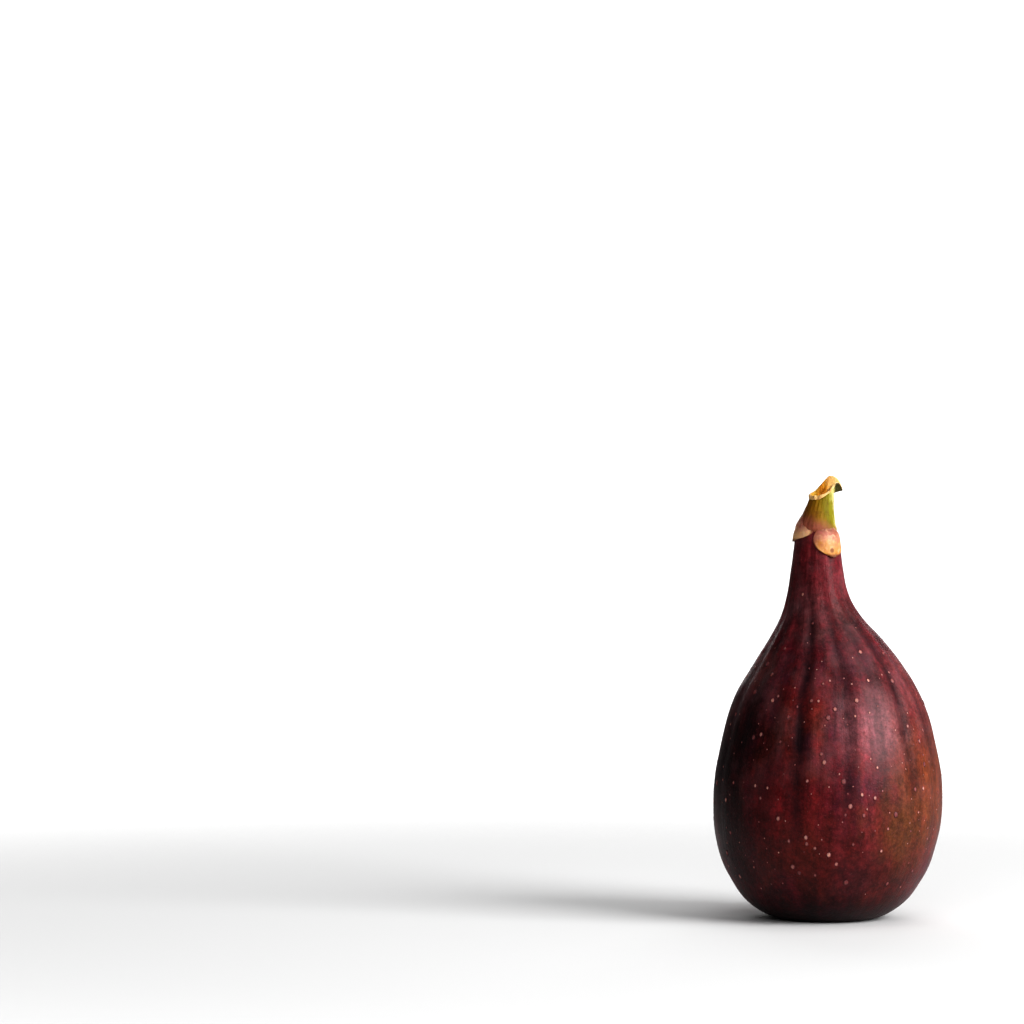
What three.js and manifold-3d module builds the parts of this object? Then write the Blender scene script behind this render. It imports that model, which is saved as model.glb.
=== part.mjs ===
// A fresh fig that stands on its blossom end: the ribbed fruit, and its stalk with three bracts.
// Millimetres, +Z up. The origin is on the surface that the fig rests on, under its widest part.
// Angles go round the fruit in degrees from its front, which is -Y, and grow towards +X.
import * as THREE from 'three';
import { mergeVertices } from 'three/addons/utils/BufferGeometryUtils.js';
import Module from 'manifold-3d';

const wasm = await Module();
wasm.setup();

// Driving dimensions of the fruit
const widestRadius = 18;
const footRadius = 6.5;
const neckHeight = 60.4;
const neckRadius = 3.3;
const shoulderRise = 1.2;
const seatRadius = 2.5;
const seatHeight = neckHeight + shoulderRise;
const seatLean = -1.8;

// The fruit's outline from the foot to the neck: radius, lean of the axis to +X, height
const outline = [
  [footRadius, -0.3, 0],
  [11.2, -0.4, 1.7],
  [15.2, -0.3, 6.5],
  [17.1, -0.25, 11.2],
  [widestRadius, 0, 19.5],
  [16.65, 0.1, 28.6],
  [14.7, 0, 34.9],
  [12, 0, 39.6],
  [8.65, -0.45, 44.4],
  [6.4, -1.05, 47.5],
  [4.95, -1.55, 50.7],
  [4.1, -1.7, 54.8],
  [3.66, -1.72, 58.4],
  [neckRadius, seatLean, neckHeight],
];

// The eye: a small sunken cup in the middle of the foot, with scales in two rings
const eye = { radius: 2.6, depth: 0.9, middleDepth: 0.62, scales: 8, scaleRise: 0.14 };
const innerScales = { radiusShare: 0.32, depthShare: 0.85, turn: 0 };
const outerScales = { radiusShare: 0.66, depthShare: 0.7, turn: Math.PI };

// Grooves between the ribs: those at the front where they show, the others at a jittered pitch
const frontGrooves = [-37.5, -20.5, 6.5, 25, 43];
const hiddenGrooves = 13;
const groove = { depth: 0.42, halfWidth: 4.6, jitter: 2.6, seed: 7 };

// How the grooves grow from the foot, in two rises, and fade again up the neck: share, heights
const lowerRise = { share: 0.35, from: 3, to: 18 };
const upperRise = { share: 0.65, from: 18, to: 38 };
const neckFade = { share: 0.85, from: 41, to: 55 };

// Out of round: how far the fruit swells along two and along three directions, above its foot
const swell = { twofold: 0.28, threefold: 0.2, fullHeight: 8 };

// How finely the solids are divided
const fruitSides = 96;
const fruitRings = 32;
const neckSides = 48;
const neckFrom = 48;
const seatSides = 24;
const shoulderSteps = 4;
const stalkSides = 32;
const lipSides = 16;
const lipRows = 10;
const bractSides = 16;
const bractSteps = 9;

// The stalk below its cut: height, lean, radius
const stalkRings = [
  [seatHeight, seatLean, 2.4],
  [62.1, -1.8, 2.85],
  [63.3, -1.6, 2.65],
  [64.9, -1.26, 2.2],
  [65.9, -1.08, 2],
];

// The oblique rim of the cut, from its left tip round the front to the high right side and back
const cutRim = [
  [-3, -0.2, 66.9],
  [-2.5, -1.35, 66.65],
  [-1.5, -1.9, 66.7],
  [-0.3, -1.85, 67.1],
  [0.6, -1.25, 68],
  [1.25, -0.5, 69.05],
  [1.3, 0.7, 69.65],
  [0.3, 1.35, 69.65],
  [-1.1, 1.5, 68.35],
  [-2.4, 1, 67.2],
];
const cutFace = { centre: [-0.7, -0.1, 67.35], rimInset: 0.2, cupInset: 0.62, cupDrop: 0.3 };
const waist = { share: 0.5, inset: 0.12 };

// The lip of torn skin that hooks outwards and down at the right of the cut, as one rounded tongue
const lip = { centre: [1.42, -0.05, 68.55], halfSizes: [0.6, 0.85, 1.15], tilt: -22 };

// Three bracts that lap over the top of the neck: middle angle, half width in degrees, tip height
const bracts = [
  { angle: 38, halfWidth: 50, tip: 57.1, bluntness: 2.4 },
  { angle: 154, halfWidth: 50, tip: 58.2, bluntness: 2.4 },
  { angle: -83, halfWidth: 68, tip: 59.7, bluntness: 3.5 },
];
const bract = { thickness: 0.65, clearance: 0.25, endShare: 0.12, bendRise: 0.4 };
const neckTaper = 0.2;

// The middle line of a bract's inner face above the neck: radius from the axis, height
const bractRoot = [[1.5, 63.7], [2.35, 62.75], [3.1, 61.95]];

const skinMaterial = new THREE.MeshStandardMaterial({ color: 0x4a1a20, roughness: 0.5, metalness: 0 });
const stalkMaterial = new THREE.MeshStandardMaterial({ color: 0x8c7a34, roughness: 0.7, metalness: 0 });

const radians = THREE.MathUtils.degToRad;
const smoothstep = THREE.MathUtils.smoothstep;

const outlineCurve = new THREE.CatmullRomCurve3(outline.map((point) => new THREE.Vector3(...point)));

// A point at an angle and a radius round an axis that leans to +X
function around(angle, radius, lean, height) {
  return new THREE.Vector3(lean + radius * Math.sin(angle), -radius * Math.cos(angle), height);
}

// A closed ring of points, one for each step of the angle
function ringOf(sides, pointAt) {
  return Array.from({ length: sides }, (_, side) => pointAt((side / sides) * 2 * Math.PI));
}

// Triangles between two rings, which may differ in their number of points; a ring of one is a tip
function stitch(lower, upper, addTriangle) {
  const lowerSteps = lower.length > 1 ? lower.length : 0;
  const upperSteps = upper.length > 1 ? upper.length : 0;
  let low = 0;
  let high = 0;
  while (low < lowerSteps || high < upperSteps) {
    const lowerFirst = (low + 1) / lowerSteps <= (high + 1) / upperSteps;
    if (high === upperSteps || (low < lowerSteps && lowerFirst)) {
      addTriangle(lower[low], lower[(low + 1) % lowerSteps], upper[high % upper.length]);
      low += 1;
    } else {
      addTriangle(lower[low % lower.length], upper[(high + 1) % upperSteps], upper[high]);
      high += 1;
    }
  }
}

// A closed skin through rings that run from one tip to the other
function loft(rings) {
  const positions = [];
  const addTriangle = (...corners) => {
    for (const corner of corners) positions.push(corner.x, corner.y, corner.z);
  };
  for (let index = 1; index < rings.length; index += 1) {
    stitch(rings[index - 1], rings[index], addTriangle);
  }
  const geometry = new THREE.BufferGeometry();
  geometry.setAttribute('position', new THREE.Float32BufferAttribute(positions, 3));
  return mergeVertices(geometry, 1e-5);
}

function grooveAngles() {
  THREE.MathUtils.seededRandom(groove.seed);
  const last = frontGrooves[frontGrooves.length - 1];
  const pitch = (360 + frontGrooves[0] - last) / (hiddenGrooves + 1);
  const hidden = Array.from({ length: hiddenGrooves }, (_, index) => {
    const jitter = (2 * THREE.MathUtils.seededRandom() - 1) * groove.jitter;
    return last + (index + 1) * pitch + jitter;
  });
  return [...frontGrooves, ...hidden];
}

const grooves = grooveAngles();

// How deep the grooves are at an angle, from 0 on a rib to 1 in a groove
function grooveShare(angle) {
  const degrees = THREE.MathUtils.radToDeg(angle);
  const distances = grooves.map((middle) => {
    const turn = THREE.MathUtils.euclideanModulo(degrees - middle, 360);
    return Math.min(turn, 360 - turn);
  });
  return Math.exp(-((Math.min(...distances) / groove.halfWidth) ** 2));
}

// Grooves are deepest on the slope below the neck and fade towards the foot and up the neck
function grooveDepth(height) {
  const part = ({ share, from, to }) => share * smoothstep(height, from, to);
  return groove.depth * (part(lowerRise) + part(upperRise)) * (1 - part(neckFade));
}

function skinPoint(share, angle) {
  const { x: radius, y: lean, z: height } = outlineCurve.getPointAt(share);
  const swelling = swell.twofold * Math.sin(2 * angle) + swell.threefold * Math.cos(3 * angle);
  const risen = smoothstep(height, 0, swell.fullHeight) * (radius / widestRadius);
  const ribbed = radius + swelling * risen - grooveDepth(height) * grooveShare(angle);
  return around(angle, ribbed, lean, height);
}

function fruitRing(index) {
  const share = index / fruitRings;
  const onNeck = outlineCurve.getPointAt(share).z > neckFrom;
  return ringOf(onNeck ? neckSides : fruitSides, (angle) => skinPoint(share, angle));
}

// The cup of the eye, from its middle out to the flat foot
function eyeRings() {
  const lean = outline[0][1];
  const scaleRing = ({ radiusShare, depthShare, turn }, sides) => ringOf(sides, (angle) => {
    const rise = eye.scaleRise * Math.cos(eye.scales * angle + turn);
    return around(angle, eye.radius * radiusShare, lean, eye.depth * depthShare + rise);
  });
  const middle = [new THREE.Vector3(lean, 0, eye.middleDepth)];
  const edge = ringOf(neckSides, (angle) => around(angle, eye.radius, lean, 0));
  return [middle, scaleRing(innerScales, seatSides), scaleRing(outerScales, neckSides), edge];
}

// The neck rounds over to the flat seat of the stalk
function shoulderRings() {
  const rings = Array.from({ length: shoulderSteps }, (_, index) => {
    const turn = ((index + 1) / shoulderSteps) * (Math.PI / 2);
    const radius = seatRadius + (neckRadius - seatRadius) * Math.cos(turn);
    const height = neckHeight + shoulderRise * Math.sin(turn);
    const sides = index < shoulderSteps - 1 ? neckSides : seatSides;
    return ringOf(sides, (angle) => around(angle, radius, seatLean, height));
  });
  return [...rings, [new THREE.Vector3(seatLean, 0, seatHeight)]];
}

function makeFruit() {
  const sides = Array.from({ length: fruitRings + 1 }, (_, index) => fruitRing(index));
  return loft([...eyeRings(), ...sides, ...shoulderRings()]);
}

// The stem, its flared oblique rim and the cupped cut face
function makeStem() {
  const rings = stalkRings.map(([height, lean, radius]) => (
    ringOf(stalkSides, (angle) => around(angle - Math.PI / 2, radius, lean, height))
  ));
  const rimCurve = new THREE.CatmullRomCurve3(cutRim.map((point) => new THREE.Vector3(...point)), true);
  const centre = new THREE.Vector3(...cutFace.centre);
  const rim = ringOf(stalkSides, (angle) => rimCurve.getPoint(angle / (2 * Math.PI)));
  const waistRing = rim.map((point, side) => (
    point.clone().lerp(rings[rings.length - 1][side], waist.share).lerp(centre, waist.inset)
  ));
  const inset = (share, drop) => rim.map((point) => {
    const moved = point.clone().lerp(centre, share);
    moved.z -= drop;
    return moved;
  });
  const base = [new THREE.Vector3(seatLean, 0, seatHeight)];
  const cup = inset(cutFace.cupInset, cutFace.cupDrop);
  return loft([base, ...rings, waistRing, rim, inset(cutFace.rimInset, 0), cup, [centre]]);
}

// The average of a ring's points, as the tip that closes it
function middleOf(ring) {
  const sum = ring.reduce((total, point) => total.add(point), new THREE.Vector3());
  return [sum.divideScalar(ring.length)];
}

// The lip is a flattened ball that leans out over the rim
function makeLip() {
  const geometry = new THREE.SphereGeometry(1, lipSides, lipRows);
  geometry.scale(...lip.halfSizes);
  geometry.rotateY(radians(lip.tilt));
  geometry.translate(...lip.centre);
  return geometry;
}

// The whole inner line of a bract, from its root in the stem to its tip beside the neck
function bractLine(tip) {
  const outlineAt = (height) => neckRadius + neckTaper * (neckHeight - height);
  const beside = (height) => [outlineAt(height) + bract.clearance, height];
  const bend = [neckRadius + bract.clearance, neckHeight + bract.bendRise];
  return new THREE.SplineCurve(
    [...bractRoot, bend, beside((neckHeight + tip) / 2), beside(tip)]
      .map(([radius, height]) => new THREE.Vector2(radius, height)),
  );
}

// A bract is a thin blade, lofted from its root inside the stem to its rounded tip
function makeBract({ angle: middle, halfWidth, tip, bluntness }) {
  const line = bractLine(tip);
  const sectionAt = (share) => {
    const { x: radius, y: height } = line.getPointAt(share);
    const narrowing = (1 - share ** bluntness) ** (1 / bluntness);
    const reach = radians(halfWidth) * Math.max(narrowing, bract.endShare);
    return ringOf(bractSides, (turn) => {
      const outward = Math.sign(Math.sin(turn)) * Math.abs(Math.sin(turn)) ** 0.5;
      const depth = bract.thickness * (0.5 + 0.5 * outward);
      return around(radians(middle) + Math.cos(turn) * reach, radius + depth, seatLean, height);
    });
  };
  const sections = Array.from({ length: bractSteps + 1 }, (_, index) => sectionAt(index / bractSteps));
  return loft([middleOf(sections[0]), ...sections, middleOf(sections[bractSteps])]);
}

function toManifold(geometry) {
  const bare = geometry.clone();
  bare.deleteAttribute('normal');
  bare.deleteAttribute('uv');
  const merged = mergeVertices(bare, 1e-5);
  const vertProperties = new Float32Array(merged.attributes.position.array);
  const triVerts = new Uint32Array(merged.index.array);
  return new wasm.Manifold(new wasm.Mesh({ numProp: 3, vertProperties, triVerts }));
}

function fromManifold(solid) {
  const { vertProperties, triVerts } = solid.getMesh();
  const geometry = new THREE.BufferGeometry();
  geometry.setAttribute('position', new THREE.BufferAttribute(vertProperties, 3));
  geometry.setIndex(new THREE.BufferAttribute(triVerts, 1));
  return geometry;
}

// The stalk is the stem, its lip and the bracts, grown together
function makeStalk() {
  const pieces = [makeLip(), ...bracts.map(makeBract)];
  const whole = pieces.reduce((solid, piece) => solid.add(toManifold(piece)), toManifold(makeStem()));
  return fromManifold(whole);
}

function namedMesh(name, geometry, material) {
  geometry.computeVertexNormals();
  const mesh = new THREE.Mesh(geometry, material);
  mesh.name = name;
  return mesh;
}

const fig = new THREE.Group();
fig.add(namedMesh('fruit', makeFruit(), skinMaterial));
fig.add(namedMesh('stalk', makeStalk(), stalkMaterial));

export default fig;
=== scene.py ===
import math
import random

import bpy
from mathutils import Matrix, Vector, noise


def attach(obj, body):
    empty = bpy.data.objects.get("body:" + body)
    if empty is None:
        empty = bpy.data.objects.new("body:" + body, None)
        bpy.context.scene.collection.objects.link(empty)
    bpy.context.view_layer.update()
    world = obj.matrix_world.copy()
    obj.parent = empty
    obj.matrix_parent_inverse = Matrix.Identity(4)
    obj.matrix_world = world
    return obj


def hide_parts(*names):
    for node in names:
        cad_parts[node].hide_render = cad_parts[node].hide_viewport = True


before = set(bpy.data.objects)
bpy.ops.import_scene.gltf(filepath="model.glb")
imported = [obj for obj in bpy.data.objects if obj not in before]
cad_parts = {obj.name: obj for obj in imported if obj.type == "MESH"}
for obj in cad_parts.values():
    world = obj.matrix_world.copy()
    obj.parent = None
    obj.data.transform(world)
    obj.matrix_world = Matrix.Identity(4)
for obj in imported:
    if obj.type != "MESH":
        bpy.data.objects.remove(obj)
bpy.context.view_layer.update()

# A fresh fig that stands on its blossom end, in metres. Sizes in the settings are in millimetres.
# Angles are degrees round the fruit from its front, which is -Y, and grow towards +X.
mm = 0.001
body = "root"


def say(stage):
    print("fig:", stage)


# Small helpers for colours and nodes

# Linear colour of an sRGB hex colour
def rgb(hexColour):
    parts = [int(hexColour[i:i + 2], 16) / 255 for i in (1, 3, 5)]
    return tuple(((p + 0.055) / 1.055) ** 2.4 if p > 0.04045 else p / 12.92 for p in parts) + (1.0,)


def wire(tree, value, socket):
    if isinstance(value, bpy.types.NodeSocket):
        tree.links.new(value, socket)
    else:
        socket.default_value = value


def addNode(tree, kind, sockets=None, **settings):
    node = tree.nodes.new(kind)
    for name, value in settings.items():
        setattr(node, name, value)
    for key, value in (sockets or {}).items():
        wire(tree, value, node.inputs[key])
    return node


def calc(tree, operation, *values, clamp=False):
    node = addNode(tree, "ShaderNodeMath", operation=operation, use_clamp=clamp)
    for socket, value in zip(node.inputs, values):
        wire(tree, value, socket)
    return node.outputs[0]


def vectorCalc(tree, operation, *values, output=0):
    node = addNode(tree, "ShaderNodeVectorMath", operation=operation)
    for socket, value in zip(node.inputs, values):
        wire(tree, value, socket)
    return node.outputs[output]


# The three numbers of a vector
def splitUp(tree, vector):
    return addNode(tree, "ShaderNodeSeparateXYZ", {0: vector}).outputs


def vectorOf(tree, x=0.0, y=0.0, z=0.0):
    return addNode(tree, "ShaderNodeCombineXYZ", {0: x, 1: y, 2: z}).outputs[0]


# Value from 0 to 1 turned into a swing about nothing, as wide as spread
def centred(tree, value, spread):
    return calc(tree, "MULTIPLY", calc(tree, "SUBTRACT", value, 0.5), spread)


def weighed(tree, first, firstShare, second, secondShare):
    return calc(tree, "ADD", calc(tree, "MULTIPLY", first, firstShare),
                calc(tree, "MULTIPLY", second, secondShare))


def ease(tree, value, start, end, low=0.0, high=1.0):
    node = addNode(tree, "ShaderNodeMapRange", interpolation_type="SMOOTHSTEP")
    for index, item in enumerate((value, start, end, low, high)):
        wire(tree, item, node.inputs[index])
    return node.outputs[0]


def noiseOf(tree, vector, scale, detail=3.0, roughness=0.55):
    sockets = {"Vector": vector, "Scale": scale, "Detail": detail, "Roughness": roughness}
    return addNode(tree, "ShaderNodeTexNoise", sockets).outputs["Fac"]


def mixColour(tree, factor, first, second, blend="MIX"):
    node = addNode(tree, "ShaderNodeMix", data_type="RGBA", blend_type=blend)
    wire(tree, factor, node.inputs[0])
    wire(tree, first, node.inputs[6])
    wire(tree, second, node.inputs[7])
    return node.outputs[2]


# A colour ramp through (place, hex colour) stops
def ramp(tree, value, *stops):
    node = addNode(tree, "ShaderNodeValToRGB", {"Fac": value})
    elements = node.color_ramp.elements
    while len(elements) < len(stops):
        elements.new(0.5)
    for element, (place, hexColour) in zip(elements, stops):
        element.position = place
        element.color = rgb(hexColour)
    return node.outputs["Color"]


def attribute(tree, name, output="Fac"):
    return addNode(tree, "ShaderNodeAttribute", attribute_name=name).outputs[output]


def newMaterial(name, **sockets):
    material = bpy.data.materials.new(name)
    material.use_nodes = True
    shader = material.node_tree.nodes["Principled BSDF"]
    for key, value in sockets.items():
        shader.inputs[key.replace("_", " ")].default_value = value
    return material, material.node_tree, shader


# Object coordinates in millimetres
def millimetres(tree):
    place = addNode(tree, "ShaderNodeTexCoord").outputs["Object"]
    return addNode(tree, "ShaderNodeMapping", {"Vector": place, "Scale": (1 / mm,) * 3}).outputs[0]


def bumpFrom(tree, shader, height, distance, strength=1.0):
    sockets = {"Height": height, "Distance": distance * mm, "Strength": strength}
    tree.links.new(addNode(tree, "ShaderNodeBump", sockets).outputs["Normal"], shader.inputs["Normal"])


# Geometry Nodes: a tree with named inputs, and the plain mesh that it makes

def newTree(name, sockets):
    tree = bpy.data.node_groups.new(name, "GeometryNodeTree")
    tree.interface.new_socket("Geometry", in_out="INPUT", socket_type="NodeSocketGeometry")
    for label, kind in sockets.items():
        tree.interface.new_socket(label, in_out="INPUT", socket_type="NodeSocket" + kind)
    tree.interface.new_socket("Geometry", in_out="OUTPUT", socket_type="NodeSocketGeometry")
    return tree, addNode(tree, "NodeGroupInput").outputs


def endTree(tree, geometry, material):
    realized = addNode(tree, "GeometryNodeRealizeInstances", {"Geometry": geometry}).outputs[0]
    painted = addNode(tree, "GeometryNodeSetMaterial", {"Geometry": realized, "Material": material})
    tree.links.new(painted.outputs[0], addNode(tree, "NodeGroupOutput").inputs[0])


def storeValue(tree, geometry, name, value, kind="FLOAT", domain="POINT"):
    node = addNode(tree, "GeometryNodeStoreNamedAttribute", data_type=kind, domain=domain)
    wire(tree, geometry, node.inputs["Geometry"])
    node.inputs["Name"].default_value = name
    wire(tree, value, node.inputs["Value"])
    return node.outputs[0]


# Runs the tree on a host object and returns its result as a plain mesh object
def meshFromTree(name, tree, values, source=None):
    host = linked(bpy.data.objects.new(name + "Host", source or bpy.data.meshes.new(name + "Host")))
    modifier = host.modifiers.new("build", "NODES")
    modifier.node_group = tree
    identifiers = {item.name: item.identifier for item in tree.interface.items_tree if item.in_out == "INPUT"}
    for label, value in values.items():
        modifier[identifiers[label]] = value
    graph = bpy.context.evaluated_depsgraph_get()
    mesh = bpy.data.meshes.new_from_object(host.evaluated_get(graph), depsgraph=graph)
    host.modifiers.remove(modifier)
    bpy.data.objects.remove(host)
    mesh.name = name
    return linked(bpy.data.objects.new(name, mesh))


def linked(obj):
    bpy.context.scene.collection.objects.link(obj)
    return obj


def smoothMesh(name, points, faces, material):
    mesh = bpy.data.meshes.new(name)
    mesh.from_pydata([tuple(p * mm) for p in points], [], faces)
    mesh.shade_smooth()
    mesh.materials.append(material)
    mesh.update()
    return linked(bpy.data.objects.new(name, mesh))


# Stores one number for each point of a mesh, for its material or its tree to read
def pointValues(obj, name, values):
    layer = obj.data.attributes.new(name, "FLOAT", "POINT")
    layer.data.foreach_set("value", values)


# Camera, at the photograph's viewing angle and framing

cameraSet = {
    "distance": 0.62,
    "pixelsPerMetre": 6333,
    "imagePixels": 1024,
    "footPixel": (828, 917.5),
    "sensor": 36,
}


def makeCamera(s):
    centre = s["imagePixels"] / 2
    data = bpy.data.cameras.new("camera")
    data.sensor_width = s["sensor"]
    data.lens = s["distance"] * s["sensor"] * s["pixelsPerMetre"] / s["imagePixels"]
    data.clip_start = 0.01
    camera = linked(bpy.data.objects.new("camera", data))
    across = (centre - s["footPixel"][0]) / s["pixelsPerMetre"]
    up = (s["footPixel"][1] - centre) / s["pixelsPerMetre"]
    camera.location = (across, -s["distance"], up)
    camera.rotation_euler = (math.radians(90), 0, 0)
    bpy.context.scene.camera = camera


makeCamera(cameraSet)
say("camera placed")

# Skin of the fruit: an outline turned round a leaning axis, with grooves, swells and wrinkles

skinSet = {
    "sides": 448,
    "rows": 208,
    # radius, lean of the axis, height, from the middle of the eye to the seat of the stalk
    "eye": [(0, -0.3, 0.75), (1.5, -0.3, 0.8), (2.4, -0.3, 0.4)],
    "foot": [(2.85, -0.3, 0), (6.5, -0.3, 0)],
    "side": [
        (11.2, -0.4, 1.7), (15.2, -0.3, 6.5), (17.1, -0.25, 11.2), (18, 0, 19.5), (16.65, 0.1, 28.6),
        (14.7, 0, 34.9), (12, 0, 39.6), (8.65, -0.45, 44.4), (6.4, -1.05, 47.5), (4.95, -1.55, 50.7),
        (4.1, -1.7, 54.8), (3.66, -1.72, 58.4), (3.3, -1.8, 60.4), (2.6, -1.8, 61.4),
    ],
    "seat": [(2.3, -1.8, 61.55), (0, -1.8, 61.6)],
    "footRound": 1.6,
    "widest": 18,
    # angle and strength of the grooves that show at the front, then how many the rest of the way
    "frontGrooves": [(-37.5, 0.55), (-20.5, 1.0), (5.5, 0.9), (25, 0.4), (43, 0.85)],
    "hiddenGrooves": 13,
    "grooveJitter": 2.6,
    "grooveDepth": 0.42,
    "grooveWidth": 0.07,
    "grooveSpread": 0.55,      # how much wider, as an angle, a groove is where the fruit is slimmer
    "grooveWander": 0.06,
    # heights between which the grooves deepen, first by this share, then fully, and fade up the neck
    "firstRise": (3, 18),
    "firstShare": 0.35,
    "secondRise": (18, 38),
    "neckFade": (40, 54),
    "neckShare": 0.14,
    # out of round along two and three directions, lumps and wrinkles, and the heights where they start
    "swellTwo": 0.28,
    "swellThree": 0.2,
    "lumps": 0.3,
    "wrinkles": 0.09,
    "swellRise": (1, 8),
    "wrinkleRise": (12, 44),
    "seatFade": (58, 61),      # the relief ends here, under the stalk
    "seed": 7,
}


def outlineCurve(s):
    data = bpy.data.curves.new("figOutline", "CURVE")
    data.dimensions = "3D"
    data.resolution_u = 24
    points = s["eye"] + s["foot"] + s["side"] + s["seat"]
    spline = data.splines.new("BEZIER")
    spline.bezier_points.add(len(points) - 1)
    for knot, place in zip(spline.bezier_points, points):
        knot.co = Vector(place) * mm
        knot.handle_left_type = knot.handle_right_type = "AUTO"
    first = len(s["eye"])
    inner, outer = spline.bezier_points[first:first + 2]
    inner.handle_left_type = inner.handle_right_type = "VECTOR"
    outer.handle_left_type = outer.handle_right_type = "FREE"
    outer.handle_left = outer.co - Vector((s["footRound"], 0, 0)) * mm
    outer.handle_right = outer.co + Vector((s["footRound"], 0, 0)) * mm
    for knot in spline.bezier_points[-2:]:
        knot.handle_left_type = knot.handle_right_type = "VECTOR"
    return linked(bpy.data.objects.new("figOutline", data))


# One point on the unit circle for each groove, with the groove's strength
def grooveMarks(s):
    draw = random.Random(s["seed"])
    marks = list(s["frontGrooves"])
    last = marks[-1][0]
    pitch = (360 + marks[0][0] - last) / (s["hiddenGrooves"] + 1)
    for index in range(s["hiddenGrooves"]):
        jitter = draw.uniform(-s["grooveJitter"], s["grooveJitter"])
        marks.append((last + (index + 1) * pitch + jitter, draw.uniform(0.4, 0.9)))
    turns = [math.radians(angle) for angle, _ in marks]
    mesh = bpy.data.meshes.new("grooveMarks")
    mesh.from_pydata([(math.sin(t), -math.cos(t), 0) for t in turns], [], [])
    obj = linked(bpy.data.objects.new("grooveMarks", mesh))
    pointValues(obj, "strength", [strength for _, strength in marks])
    return obj


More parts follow.
